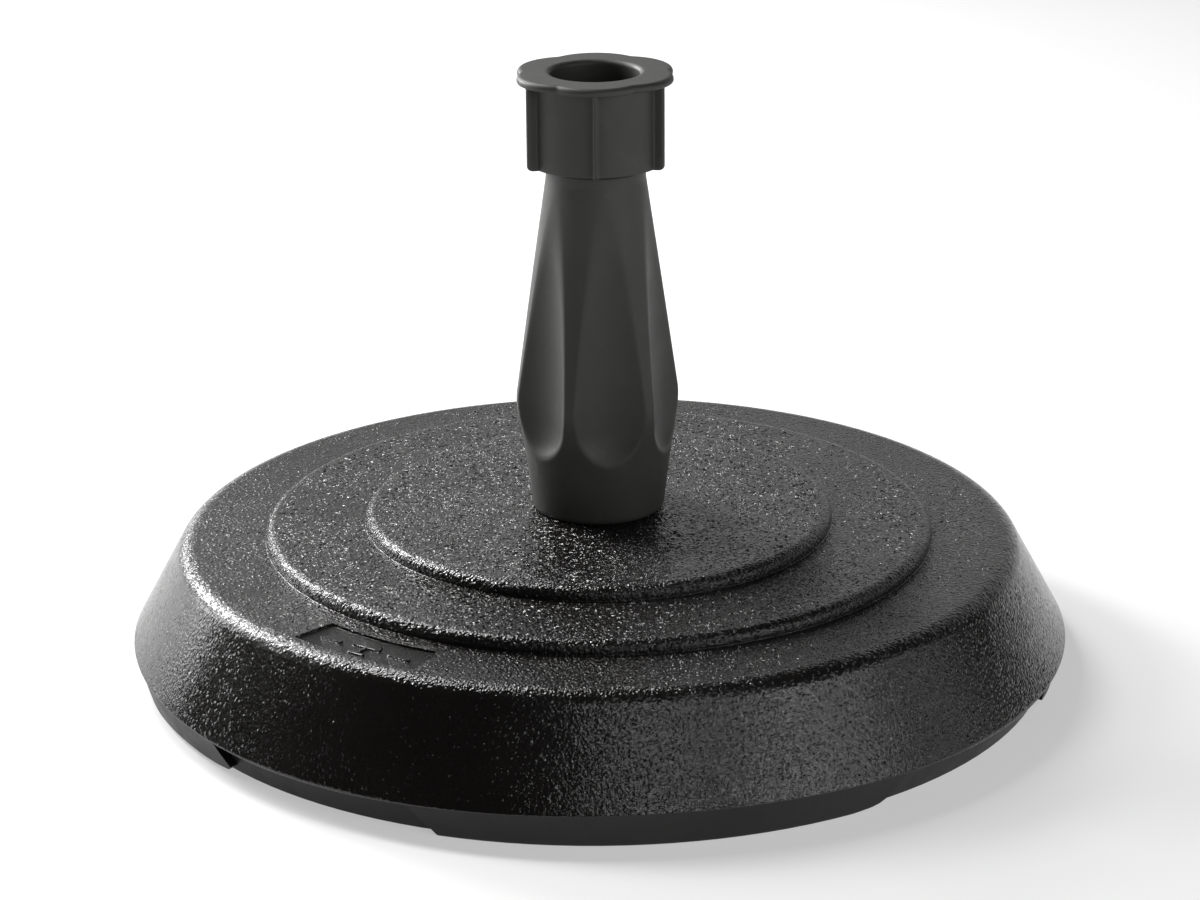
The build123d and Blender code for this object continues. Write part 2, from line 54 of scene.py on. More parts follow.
def rounded(points, radii, seg=7, inset=0.3, closed=True, longest=40.0):
    """Polyline with its corners rounded, as (r, z) pairs in mm. Straight runs get a support
    point close to each end, so that shading stays flat up to the rounding."""
    pts = [np.array(p, float) for p in points]
    n = len(pts)
    out = []
    for i in range(n):
        p, r = pts[i], radii[i]
        if (not closed and i in (0, n - 1)) or r <= 0:
            out.append([p])
            continue
        a = pts[i - 1] - p
        b = pts[(i + 1) % n] - p
        a, b = a / np.linalg.norm(a), b / np.linalg.norm(b)
        turn = math.acos(max(-1.0, min(1.0, float(a @ b))))
        t = r / math.tan(turn / 2)
        mid = (a + b) / np.linalg.norm(a + b)
        c = p + mid * (r / math.sin(turn / 2))
        s, e = p + a * t - c, p + b * t - c
        sweep = math.atan2(s[0] * e[1] - s[1] * e[0], float(s @ e))
        k = max(3, int(round(seg * max(0.45, abs(sweep) / (math.pi / 2)))))
        arc = []
        for j in range(k + 1):
            w = sweep * j / k
            arc.append(c + np.array([s[0] * math.cos(w) - s[1] * math.sin(w),
                                     s[0] * math.sin(w) + s[1] * math.cos(w)]))
        out.append(arc)
    flat = []
    for i in range(n):
        flat.extend(out[i])
        if not closed and i == n - 1:
            break
        p, q = out[i][-1], out[(i + 1) % n][0]
        d = float(np.linalg.norm(q - p))
        if d > 2.5 * inset:
            u = (q - p) / d
            stops = [inset] + [d * j / math.ceil(d / longest) for j in range(1, math.ceil(d / longest))] + [d - inset]
            flat.extend(p + u * s for s in stops)
    return np.array(flat)


def mesh_object(name, verts, faces, sharp=38.0):
    me = bpy.data.meshes.new(name)
    me.from_pydata(np.asarray(verts).tolist(), [], faces)
    me.update()
    bm = bmesh.new()
    bm.from_mesh(me)
    bmesh.ops.recalc_face_normals(bm, faces=bm.faces)
    bm.to_mesh(me)
    bm.free()
    me.shade_smooth()
    me.set_sharp_from_angle(angle=math.radians(sharp))
    ob = bpy.data.objects.new(name, me)
    bpy.context.scene.collection.objects.link(ob)
    return ob


def ring_quads(n, m, skip=None):
    """Quads of a closed-by-closed grid of n columns round the axis by m points of the section."""
    faces = []
    for j in range(n):
        k = (j + 1) % n
        for i in range(m):
            h = (i + 1) % m
            if skip and skip(j, i):
                continue
            faces.append((j * m + i, k * m + i, k * m + h, j * m + h))
    return faces


def lathe(name, section, n=360, sharp=38.0, turn=0.0):
    """Closed (r, z) section in mm turned round the axis."""
    th = turn + np.arange(n) * 2 * math.pi / n
    r, z = section[:, 0], section[:, 1]
    v = np.stack([np.cos(th)[:, None] * r, np.sin(th)[:, None] * r,
                  np.broadcast_to(z, (n, len(z)))], -1).reshape(-1, 3) * MM
    return mesh_object(name, v, ring_quads(n, len(section)), sharp)


# ------------------------------------------------------------------ base shell
RIM_R, SKIRT = 250.0, math.tan(math.radians(61.4))
INSET = 3.0 / math.sin(math.radians(61.4))
FOOT_DIRS = (9.0, 99.0, 189.0, 279.0)
PLAQUE_DIR = -35.2
PLATEAU_Z = 71.0


def inner_r(z):
    return np.minimum(247.0, 221.25 + (PLATEAU_Z - z) / SKIRT - INSET)


def lip_height(th):
    """Height of the shell's lower edge: an arch over each foot."""
    zb = np.full(th.shape, 16.4)
    rad = (165.0 ** 2 + 2.7 ** 2) / (2 * 2.7)
    for d in FOOT_DIRS:
        dev = (th - polar(d) + math.pi) % (2 * math.pi) - math.pi
        t = 249.0 * np.sin(dev)
        arch = 18.9 - rad + np.sqrt(np.maximum(rad * rad - t * t, 0))
        on = np.abs(dev) < math.radians(45)
        zb = np.where(on & (arch > zb), arch, zb)
    return zb


def segment_box(x, y, cx, cy, hx, hy, r):
    """Signed distance, negative inside, to a rectangle with rounded corners."""
    qx, qy = np.abs(x - cx) - hx + r, np.abs(y - cy) - hy + r
    return np.hypot(np.maximum(qx, 0), np.maximum(qy, 0)) + np.minimum(np.maximum(qx, qy), 0) - r


def build_shell():
    n = 1440
    step = 2 * math.pi / n
    th0 = polar(PLAQUE_DIR) - 48 * step          # window of the plaque: columns 0 to 96
    th = th0 + np.arange(n) * step
    top = rounded([(30.2, 82.0), (30.2, 85.0), (124.4, 85.0), (124.4, 78.0), (177.5, 78.0), (177.5, 71.0), (186.0, 71.0)],
                  [0, 0.5, 5.5, 0.45, 5.5, 0.45, 0], seg=9, closed=False, longest=18)
    edge = rounded([(213.9, 71.0), (221.25, 71.0), (221.25 + (71 - 26.0) / SKIRT, 26.0)],
                   [0, 12.0, 0], seg=22, closed=False, longest=7)
    i0 = len(top) - 1
    i1 = len(top)
    low = rounded([(221.25 + (71 - 27.0) / SKIRT, 27.0), (250.0, 18.27), (250.0, 17.4), (249.5, 16.4)],
                  [0, 2.5, 0.9, 0], seg=24, closed=False, longest=2)
    zb = lip_height(th)
    fixed = np.concatenate([top, edge])
    cols = []
    zz = low[::-1, 1]
    rr = low[::-1, 0]
    k = np.linspace(0, 1, 26)
    for j in range(n):
        soft = 0.6
        za = zb[j] + soft
        z1 = 25.2 + (za - 25.2) * k
        r1 = np.interp(z1, zz, rr)
        rb = float(np.interp(zb[j], zz, rr))
        p0, p1, p2 = (r1[-1], za), (rb, zb[j]), (rb - soft, zb[j])
        bez = [((1 - t) ** 2 * p0[0] + 2 * t * (1 - t) * p1[0] + t * t * p2[0],
                (1 - t) ** 2 * p0[1] + 2 * t * (1 - t) * p1[1] + t * t * p2[1]) for t in (0.17, 0.34, 0.5, 0.67, 0.84, 1.0)]
        ri = float(inner_r(zb[j]))
        tail = [(ri + 0.25, zb[j]), (ri, zb[j] + 0.25), (float(inner_r(21.5)), 21.5)]
        cols.append(np.concatenate([fixed, np.stack([r1, z1], -1), np.array(bez), np.array(tail)]))
    roof = rounded([(float(inner_r(30)), 30.0), (float(inner_r(68.0)), 68.0), (174.5, 68.0), (174.5, 75.0),
                    (121.4, 75.0), (121.4, 82.0), (60.0, 82.0)],
                   [0, 9.0, 0.4, 0.4, 0.4, 0.4, 0], seg=7, closed=False, longest=30)
    sec = np.stack([np.concatenate([c, roof]) for c in cols])
    m = sec.shape[1]
    v = np.stack([np.cos(th)[:, None] * sec[..., 0], np.sin(th)[:, None] * sec[..., 0], sec[..., 1]], -1)
    verts = list((v.reshape(-1, 3) * MM).tolist())
    W, K, R = 96, 3, 96                         # window columns, cells per column, cells outwards
    U = W * K
    ids = np.zeros((U + 1, R + 1), int)
    uu = th0 + np.arange(U + 1) * step / K
    rv = 186.0 + (213.9 - 186.0) * np.arange(R + 1) / R
    a = polar(PLAQUE_DIR)
    TH, RR = np.meshgrid(uu, rv, indexing="ij")
    X = RR * np.cos(TH)
    Y = RR * np.sin(TH)
    # sunk field
    side = (math.radians(10.1) - np.abs(TH - a)) * RR
    inside = np.minimum(np.minimum(RR - 188.0, 212.5 - RR), side)
    H = -1.2 * smooth(-0.22, 0.22, inside)
    # raised sign: x runs along the rim, y towards the axis
    dx, dy = X - 200.2 * math.cos(a), Y - 200.2 * math.sin(a)
    sx = -math.sin(a) * dx + math.cos(a) * dy
    sy = -(math.cos(a) * dx + math.sin(a) * dy)
    rc = (8.5 ** 2 + 7.7 ** 2) / (2 * 7.7)
    canopy = np.maximum(np.hypot(sx, sy - (8.2 - rc)) - rc, 0.5 - sy)
    pole = segment_box(sx, sy, 0, -3.0, 1.0, 3.9, 0.1)
    foot = segment_box(sx, sy, 0, -7.2, 4.7, 1.05, 0.4)
    bars = np.minimum(segment_box(sx, sy, -21, 0, 6.7, 1.55, 1.5), segment_box(sx, sy, 21, 0, 6.7, 1.55, 1.5))
    sign = np.minimum(np.minimum(canopy, pole), np.minimum(foot, bars))
    H += 0.85 * (1 - smooth(-0.2, 0.2, sign))
    for u in range(U + 1):
        for w in range(R + 1):
            if w in (0, R) and u % K == 0:
                ids[u, w] = (u // K) * m + (i0 if w == 0 else i1)
            else:
                ids[u, w] = len(verts)
                verts.append((X[u, w] * MM, Y[u, w] * MM, (71.0 + H[u, w]) * MM))

    def skip(j, i):
        if i == i0 and (j < W or j in (W, n - 1)):
            return True
        return i in (i0 - 1, i1) and j < W

    faces = ring_quads(n, m, skip)
    for j in range(W):
        faces.append((j * m + i0 - 1, (j + 1) * m + i0 - 1) + tuple(int(ids[q, 0]) for q in range(K * (j + 1), K * j - 1, -1)))
        faces.append(tuple(int(ids[q, R]) for q in range(K * j, K * (j + 1) + 1)) + ((j + 1) * m + i1 + 1, j * m + i1 + 1))
    q = n - 1
    faces.append((q * m + i0,) + tuple(int(ids[0, w]) for w in range(R + 1)) + (q * m + i1,))
    q = W + 1
    faces.append((q * m + i0, q * m + i1) + tuple(int(ids[U, w]) for w in range(R, -1, -1)))
    for u in range(U):
        for w in range(R):
            faces.append((int(ids[u, w]), int(ids[u + 1, w]), int(ids[u + 1, w + 1]), int(ids[u, w + 1])))
    return mesh_object("shell_skin", verts, faces, 50.0)


shell = build_shell()
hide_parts("base_shell")
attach(shell, "base")


# ------------------------------------------------------------------ grip tube
def clamped_spline(z, r, s0, s1):
    """Cubic through the points with given end slopes, as a function of z."""
    n = len(z)
    h = np.diff(z)
    A = np.zeros((n, n))
    b = np.zeros(n)
    A[0, 0], b[0] = 1, s0
    A[-1, -1], b[-1] = 1, s1
    for i in range(1, n - 1):
        A[i, i - 1], A[i, i], A[i, i + 1] = 1 / h[i - 1], 2 * (1 / h[i - 1] + 1 / h[i]), 1 / h[i]
        b[i] = 3 * ((r[i] - r[i - 1]) / h[i - 1] ** 2 + (r[i + 1] - r[i]) / h[i] ** 2)
    s = np.linalg.solve(A, b)

    def f(x):
        i = np.clip(np.searchsorted(z, x, side="right") - 1, 0, n - 2)
        t = (x - z[i]) / h[i]
        return ((2 * t ** 3 - 3 * t ** 2 + 1) * r[i] + (t ** 3 - 2 * t ** 2 + t) * h[i] * s[i]
                + (-2 * t ** 3 + 3 * t ** 2) * r[i + 1] + (t ** 3 - t ** 2) * h[i] * s[i + 1])
    return f


_low = clamped_spline(np.array([85.3, 101.9, 119.0, 133.0]), np.array([35.0, 36.8, 38.95, 41.65]), 0.09, 0.2)
_mid = clamped_spline(np.array([133.0, 140.5, 147.0, 154.06]), np.array([41.65, 42.75, 43.0, 42.18]), 0.2, -0.1455)


def tube_r(z):
    z = np.asarray(z, float)
    r = np.where(z < 133.0, _low(np.clip(z, 85.3, 133.0)), _mid(np.clip(z, 133.0, 154.06)))
    cone = np.interp(z, [154.06, 264.6, 269.0, 273.95], [42.18, 26.1, 25.87, 25.87])
    r = np.where(z > 154.06, cone, r)
    foot = np.clip((88.1 - z) / 2.8, 0, 1)       # rounded foot edge
    return r - 1.3 * (1 - np.sqrt(1 - foot ** 2))


FLUTE_DIRS = [9.5 + 60 * i for i in range(6)]


def tube_outer(th, z, k=1.7):
    """Radius of the fluted grip: the turned shape cut by six leaning, round-ended rods,
    with the ridges between them rounded."""
    r = tube_r(z)
    zc = 138.0
    zz = np.maximum(z, zc)
    d = 67.3 - 0.0421 * (zz - 150.0)
    rad = 34.3
    R2 = rad ** 2 - np.maximum(zc - z, 0) ** 2
    best = np.full(np.broadcast(th, z).shape, 1e3)
    for f in FLUTE_DIRS:
        al = (th - polar(f) + math.pi) % (2 * math.pi) - math.pi
        q = R2 - (d * np.sin(al)) ** 2
        ok = (q > 0) & (np.abs(al) < 0.8)
        rho = np.where(ok, d * np.cos(al) - np.sqrt(np.where(ok, q, 0)), 1e3)
        # past the tangent the rod's edge carries on outwards, so that the rounding stays smooth
        edge = np.abs(al) * 0 + np.where(R2 > 0, d, 1e3)
        rho = np.where(ok, rho, np.where((R2 > 0) & (np.abs(al) < 0.8), edge, 1e3))
        best = np.minimum(best, rho)
    h = np.clip(1 - np.abs(r - best) / k, 0, 1)
    return np.minimum(r, best) - h * h * k * 0.25


def build_tube():
    n = 600
    th = polar(9.5) + np.arange(n) * 2 * math.pi / n
    z_out = np.concatenate([85.3 + 2.8 * (1 - np.cos(np.linspace(0.12, math.pi / 2, 9))), np.linspace(88.9, 270.0, 226), [272.0, 273.6]])
    z_out[0] = 85.32
    R = tube_outer(th[:, None], z_out[None, :])
    inner = rounded([(25.6, 273.95), (23.6, 273.95), (23.6, 262.0), (28.5, 190.0), (28.5, 119.2), (29.06, 119.2),
                     (29.06, 85.3), (30.2, 85.3), (30.2, 86.8), (33.55, 86.8), (33.55, 85.3)],
                    [0, 0.4, 3, 6, 0.3, 0.3, 0.3, 0.3, 0, 0, 0], seg=5, closed=False, longest=30)
    m = len(z_out) + len(inner)
    r = np.concatenate([R, np.broadcast_to(inner[:, 0], (n, len(inner)))], 1)
    z = np.concatenate([z_out, inner[:, 1]])
    v = np.stack([np.cos(th)[:, None] * r, np.sin(th)[:, None] * r, np.broadcast_to(z, (n, m))], -1)
    return mesh_object("grip_tube", v.reshape(-1, 3) * MM, ring_quads(n, m), 50.0)


tube = build_tube()
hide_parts("pole_tube")
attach(tube, "tube")


# ------------------------------------------------------------------ clamp nut
NUT_Z0, NUT_Z1, FLANGE_Z = 273.0, 320.85, 316.85


def lobed(al, off=0.0):
    """Radius of the flange's outline, off mm inside it, at an angle from the nearest lobe's middle."""
    c, R, f = 16.0, 26.3 - off, 3.0 + off
    D = c * math.cos(math.pi / 6) + math.sqrt((R + f) ** 2 - (c * math.sin(math.pi / 6)) ** 2)
    # angle at which lobe and notch meet
    lobe = np.array([c, 0.0])
    notch = D * np.array([math.cos(math.pi / 6), math.sin(math.pi / 6)])
    touch = lobe + (notch - lobe) * R / (R + f)
    lim = math.atan2(touch[1], touch[0])
    al = np.abs(al)
    a = c * np.cos(al) + np.sqrt(np.maximum(R * R - (c * np.sin(al)) ** 2, 0))
    b = math.pi / 6 - al
    g = D * np.cos(b) - np.sqrt(np.maximum(f * f - (D * np.sin(b)) ** 2, 0))
    return np.where(al <= lim, a, g)


def skirt_outline(radius, rib_r, half=1.25, soft=0.9, tip=0.95):
    """One sixth of the ribbed skirt's outline, as points (x, y) with the rib along x."""
    rc = radius + soft
    yc = half + soft
    xc = math.sqrt(max(rc * rc - yc * yc, 0))
    a0 = math.atan2(yc, xc)
    up = []
    # circle from 30 degrees down to the fillet
    for t in np.linspace(math.pi / 6, a0, 15)[:-1]:
        up.append((radius * math.cos(t), radius * math.sin(t)))
    # fillet, from the circle to the rib's side
    s = math.pi + a0
    e = 3 * math.pi / 2
    for t in np.linspace(s, e, 6):
        up.append((xc + soft * math.cos(t), yc + soft * math.sin(t)))
    tipc = rib_r - tip
    x0 = up[-1][0]
    for w in (0.33, 0.66):
        up.append((x0 + (tipc - x0) * w, half))
    for t in np.linspace(math.pi / 2, 0.0, 6):
        up.append((tipc + tip * math.cos(t), half - tip + tip * math.sin(t)))
    half_list = up
    other = [(x, -y) for x, y in reversed(half_list)]
    return half_list + other[:-1]


def build_nut():
    radius = 35.1
    z_rows = []
    def ribs(z, rad_off=0.0, shrink=0.0):
        q = np.clip((NUT_Z0 + 3.0 - z) / 3.0, 0, 1)
        rib = 40.45 - 3.0 * (1 - math.sqrt(max(1 - q * q, 0))) - shrink
        rib = max(rib, radius + 2.2)
        return np.array(skirt_outline(radius - rad_off, rib))
    rows = []
    one = np.array(skirt_outline(radius, 40.45))
    P = len(one)
    ang = np.arctan2(one[:, 1], one[:, 0])
    # spread the angles of the rib's points for the flange's outline
    sp = np.linspace(ang[0], ang[-1], P)
    ang_f = 0.35 * ang + 0.65 * sp

    def full(pts2d):
        out = []
        for i in range(6):
            a = polar(-60 * i)
            c, s = math.cos(a), math.sin(a)
            out.append(np.stack([pts2d[:, 0] * c - pts2d[:, 1] * s, pts2d[:, 0] * s + pts2d[:, 1] * c], -1))
        return np.concatenate(out)

    def circle(r, use=None):
        a = ang_f if use is None else use
        return full(np.stack([r * np.cos(a), r * np.sin(a)], -1))

    def flange(off):
        r = lobed(ang_f, off)
        return full(np.stack([r * np.cos(ang_f), r * np.sin(ang_f)], -1))

    def row(xy, z):
        rows.append(np.concatenate([xy, np.full((len(xy), 1), z)], 1))

    row(full(ribs(NUT_Z0 + 0.0, 0.5, 0.35)), NUT_Z0)
    row(full(ribs(NUT_Z0 + 0.2, 0.15, 0.1)), NUT_Z0 + 0.15)
    row(full(ribs(NUT_Z0 + 0.5)), NUT_Z0 + 0.5)
    for z in list(np.linspace(0.8, 3.2, 9)) + [8, 20, 32, 42.6]:
        row(full(ribs(NUT_Z0 + z)), NUT_Z0 + z)
    # soft hollow under the flange
    for t in np.linspace(0.0, math.pi / 2, 7):
        g = 1.7 * (1 - math.cos(t))
        row(full(ribs(NUT_Z0 + 20, -g, -0.3 * g)), FLANGE_Z - 1.7 * (1 - math.sin(t)))
    base = full(ribs(NUT_Z0 + 20, -1.7, -0.51))
    fo = flange(1.0)
    row(base * 0.93 + fo * 0.07, FLANGE_Z)
    row(base * 0.1 + fo * 0.9, FLANGE_Z)
    for t in np.linspace(0, math.pi / 2, 6):
        row(flange(1.0 * (1 - math.sin(t))), FLANGE_Z + 1.0 * (1 - math.cos(t)))
    for t in np.linspace(0, math.pi / 2, 12):
        row(flange(2.5 * (1 - math.cos(t))), NUT_Z1 - 2.5 * (1 - math.sin(t)))
    row(flange(2.9), NUT_Z1)
    row(circle(27.0), NUT_Z1)
    # dished rim of the hole
    for t in np.linspace(0.0, math.pi / 2, 10):
        row(circle(23.2 + 2.6 * (1 - math.sin(t))), NUT_Z1 - 2.6 * (1 - math.cos(t)))
    inner = [(23.2, NUT_Z1 - 4), (23.2, 303.3), (23.4, 302.95), (25.4, 302.95), (25.7, 303.2), (25.7, 304.5), (24.6, 304.5), (24.6, 305.9),
             (25.7, 305.9), (25.7, 315.6), (26.0, 315.85), (31.3, 315.85), (31.66, 315.5), (31.66, 290.0), (31.66, 273.6), (32.1, 273.0)]
    for r, z in inner:
        row(circle(r), z)
    n = 6 * P
    m = len(rows)
    v = np.stack(rows, 1).reshape(-1, 3) * MM       # [n, m, 3]
    return mesh_object("hand_nut", v, ring_quads(n, m), 42.0)


nut = build_nut()
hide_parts("clamp_nut")
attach(nut, "nut")


# ------------------------------------------------------------------ materials
class Tree:
    def __init__(self, name):
        self.mat = bpy.data.materials.new(name)
        self.mat.use_nodes = True
        self.t = self.mat.node_tree
        self.b = next(n for n in self.t.nodes if n.type == "BSDF_PRINCIPLED")
        self.obj = self.t.nodes.new("ShaderNodeTexCoord").outputs["Object"]

    def put(self, socket, value):
        if hasattr(value, "is_output"):
            self.t.links.new(value, socket)
        else:
            socket.default_value = value

    def node(self, kind, _out=0, **inputs):
        n = self.t.nodes.new(kind)
        for key, value in inputs.items():
            if hasattr(n, key) and key not in n.inputs:
                setattr(n, key, value)
            else:
                self.put(n.inputs[int(key[1:]) if key[0] == "i" and key[1:].isdigit() else key], value)
        return n.outputs[_out] if isinstance(_out, (int, str)) else n

    def math(self, op, a, b=0.0, c=0.0, clamp=False):
        n = self.t.nodes.new("ShaderNodeMath")
        n.operation = op
        n.use_clamp = clamp
        for i, value in enumerate((a, b, c)):
            self.put(n.inputs[i], value)
        return n.outputs[0]

    def noise(self, scale, detail=2.0, rough=0.5, vec=None, dist=0.0):
        n = self.t.nodes.new("ShaderNodeTexNoise")
        self.put(n.inputs["Vector"], vec or self.obj)
        self.put(n.inputs["Scale"], scale)
        self.put(n.inputs["Detail"], detail)
        self.put(n.inputs["Roughness"], rough)
        self.put(n.inputs["Distortion"], dist)
        return n.outputs["Fac"] if "Fac" in n.outputs else n.outputs[0]

    def voronoi(self, scale, feature="F1", vec=None, rnd=1.0, smoothness=None):
        n = self.t.nodes.new("ShaderNodeTexVoronoi")
        n.feature = feature
        self.put(n.inputs["Vector"], vec or self.obj)
        self.put(n.inputs["Scale"], scale)
        self.put(n.inputs["Randomness"], rnd)
        if smoothness is not None:
            self.put(n.inputs["Smoothness"], smoothness)
        return n.outputs["Distance"]

    def ramp(self, value, lo, hi, out0=0.0, out1=1.0):
        n = self.t.nodes.new("ShaderNodeMapRange")
        n.interpolation_type = "SMOOTHSTEP"
        for i, x in enumerate((value, lo, hi, out0, out1)):
            self.put(n.inputs[i], x)
        return n.outputs[0]

    def mix(self, fac, a, b):
        n = self.t.nodes.new("ShaderNodeMix")
        n.data_type = "RGBA"
        self.put(n.inputs[0], fac)
        self.put(n.inputs[6], a)
        self.put(n.inputs[7], b)
        return n.outputs[2]

    def bump(self, height, distance, strength=1.0, normal=None):
        n = self.t.nodes.new("ShaderNodeBump")
        self.put(n.inputs["Strength"], strength)
        self.put(n.inputs["Distance"], distance)
        self.put(n.inputs["Height"], height)
        if normal is not None:
            self.put(n.inputs["Normal"], normal)
        return n.outputs[0]

    def radius(self):
        s = self.t.nodes.new("ShaderNodeSeparateXYZ")
        self.put(s.inputs[0], self.obj)
        x2 = self.math("MULTIPLY", s.outputs[0], s.outputs[0])
        return self.math("SQRT", self.math("MULTIPLY_ADD", s.outputs[1], s.outputs[1], x2)), s.outputs[2]


def rgb(r, g, b):
    return (r, g, b, 1.0)


def grained_shell():
    """Near-black moulding with a coarse spark-eroded grain; the sunk plaque floor is finely lined instead."""
    k = Tree("shell_grain")
    big = k.noise(9.0, 3.0, 0.55)
    grit = k.noise(560.0, 2.0, 0.6)
    # separate pimples on a flatter ground, close together on the inner disc
    pimple = k.ramp(k.voronoi(430.0), 0.06, 0.40, 1.0, 0.0)
    crumb = k.ramp(k.voronoi(640.0), 0.08, 0.50, 1.0, 0.0)
    rad, z = k.radius()
    disc = k.ramp(rad, 0.119, 0.126, 1.0, 0.0)
    flat = k.ramp(z, 0.0655, 0.0705)            # 1 on the steps and the plateau, 0 on the skirt
    height = k.math("MULTIPLY_ADD", pimple, 0.42, k.math("MULTIPLY", grit, 0.9))
    height = k.math("MULTIPLY_ADD", k.math("MULTIPLY", crumb, disc), 0.38, height)
    # the grain is shallower in large soft patches
    worn = k.ramp(k.noise(13.0, 2.0, 0.5), 0.34, 0.62, 0.55, 1.0)
    # plaque field: sector of the plateau with fine lines along the rim
    s = k.t.nodes.new("ShaderNodeSeparateXYZ")
    k.put(s.inputs[0], k.obj)
    pa = polar(PLAQUE_DIR)
    along = k.math("MULTIPLY_ADD", s.outputs[0], -math.sin(pa), k.math("MULTIPLY", s.outputs[1], math.cos(pa)))
    outw = k.math("MULTIPLY_ADD", s.outputs[0], math.cos(pa), k.math("MULTIPLY", s.outputs[1], math.sin(pa)))
    angle = k.math("ABSOLUTE", k.math("ARCTAN2", along, outw))
    inside = k.math("MULTIPLY", k.ramp(angle, math.radians(10.0), math.radians(10.2), 1.0, 0.0),
                    k.math("MULTIPLY", k.ramp(rad, 0.1877, 0.1883), k.ramp(rad, 0.2120, 0.2127, 1.0, 0.0)))
    inside = k.math("MULTIPLY", inside, k.ramp(z, 0.060, 0.062))
    lines = k.math("MULTIPLY", k.math("SINE", k.math("MULTIPLY", along, 2 * math.pi / 0.0013)), 0.10)
    amount = k.math("MULTIPLY", worn, k.math("SUBTRACT", 1.0, k.math("MULTIPLY", inside, 0.93)))
    amount = k.math("MULTIPLY", amount, k.math("MULTIPLY_ADD", flat, 0.9, 0.6))
    height = k.math("MULTIPLY_ADD", height, amount, k.math("MULTIPLY", lines, inside))
    # small facets, each tilted its own way: they catch or miss the light one by one
    def facets(scale, amount, keep):
        v = k.t.nodes.new("ShaderNodeTexVoronoi")
        k.put(v.inputs["Vector"], k.obj)
        v.inputs["Scale"].default_value = scale
        c = k.t.nodes.new("ShaderNodeSeparateColor")
        k.put(c.inputs[0], v.outputs["Color"])
        on = k.math("MULTIPLY", k.ramp(v.outputs["Distance"], 0.34, 0.62, 1.0, 0.0), k.math("MULTIPLY", keep(c.outputs[2]), amount))
        out = k.t.nodes.new("ShaderNodeCombineXYZ")
        for i in (0, 1):
            k.put(out.inputs[i], k.math("MULTIPLY", k.math("SUBTRACT", c.outputs[i], 0.5), on))
        return out.outputs[0]

    def vadd(a, b):
        n = k.t.nodes.new("ShaderNodeVectorMath")
        n.operation = "ADD"
        k.put(n.inputs[0], a)
        k.put(n.inputs[1], b)
        return n.outputs[0]

    quiet = k.math("MULTIPLY_ADD", inside, -1.0, 1.0)
    level = k.math("MULTIPLY", k.math("MULTIPLY_ADD", flat, 0.75, 0.25), quiet)
    for r0, wide in ((0.2175, 0.010), (0.1745, 0.0055), (0.1215, 0.0055)):      # calmer on the roundings
        near = k.ramp(k.math("ABSOLUTE", k.math("SUBTRACT", rad, r0)), wide * 0.4, wide, 0.68, 0.0)
        level = k.math("MULTIPLY", level, k.math("SUBTRACT", 1.0, near))
    patch = k.ramp(k.noise(11.0, 2.0, 0.5), 0.40, 0.60, 0.18, 0.46)      # share of cells with a facet
    share = k.math("MAXIMUM", disc, patch)
    f1 = facets(530.0, k.math("MULTIPLY", level, 1.5), lambda b: k.math("LESS_THAN", b, share))
    f2 = facets(770.0, k.math("MULTIPLY", level, 1.3), lambda b: k.math("LESS_THAN", b, share))
    g = k.t.nodes.new("ShaderNodeNewGeometry")
    tilted = k.t.nodes.new("ShaderNodeVectorMath")
    tilted.operation = "NORMALIZE"
    k.put(tilted.inputs[0], vadd(g.outputs["Normal"], vadd(f1, f2)))
    k.put(k.b.inputs["Normal"], k.bump(height, 0.0007, 1.0, tilted.outputs[0]))
    # rubbed edges: plateau edge and both step edges
    e1 = k.ramp(k.math("ABSOLUTE", k.math("SUBTRACT", rad, 0.2175)), 0.0, 0.0055, 1.0, 0.0)
    e2 = k.ramp(k.math("ABSOLUTE", k.math("SUBTRACT", rad, 0.1742)), 0.0, 0.0035, 1.0, 0.0)
    e3 = k.ramp(k.math("ABSOLUTE", k.math("SUBTRACT", rad, 0.1211)), 0.0, 0.0035, 1.0, 0.0)
    edge = k.math("MAXIMUM", e1, k.math("MAXIMUM", e2, e3))
    scuff = k.math("MULTIPLY", edge, k.ramp(k.noise(60.0, 4.0, 0.65), 0.42, 0.7))
    col = k.mix(k.ramp(big, 0.35, 0.7), rgb(0.0068, 0.0059, 0.0056), rgb(0.0100, 0.0089, 0.0084))
    col = k.mix(k.math("MULTIPLY", scuff, 0.5), col, rgb(0.022, 0.021, 0.020))
    k.put(k.b.inputs["Base Color"], col)
    rough = k.ramp(k.noise(38.0, 3.0, 0.6), 0.3, 0.75, 0.14, 0.20)
    rough = k.math("SUBTRACT", rough, k.math("MULTIPLY", scuff, 0.04))
    k.put(k.b.inputs["Roughness"], rough)
    k.b.inputs["IOR"].default_value = 1.5
    return k.mat


def satin(name, dark, light, rough0, rough1, grain=0.00003, scale=1500.0, ior=1.5, spec=0.5):
    """Smooth satin moulding: very fine grain, faint colour drift, small rubs."""
    k = Tree(name)
    drift = k.noise(14.0, 3.0, 0.55)
    rub = k.ramp(k.noise(95.0, 4.0, 0.65), 0.56, 0.8)
    col = k.mix(k.ramp(drift, 0.3, 0.7), rgb(*dark), rgb(*light))
    col = k.mix(k.math("MULTIPLY", rub, 0.25), col, rgb(*[min(1, c * 1.9) for c in light]))
    k.put(k.b.inputs["Base Color"], col)
    k.put(k.b.inputs["Roughness"], k.ramp(k.noise(55.0, 3.0, 0.6), 0.3, 0.72, rough0, rough1))
    k.put(k.b.inputs["Normal"], k.bump(k.math("MULTIPLY_ADD", k.noise(scale * 0.35, 2.0, 0.5), 0.6, k.noise(scale, 2.0, 0.6)), grain, 1.0))
    k.b.inputs["IOR"].default_value = ior
    k.b.inputs["Specular IOR Level"].default_value = spec
    return k.mat


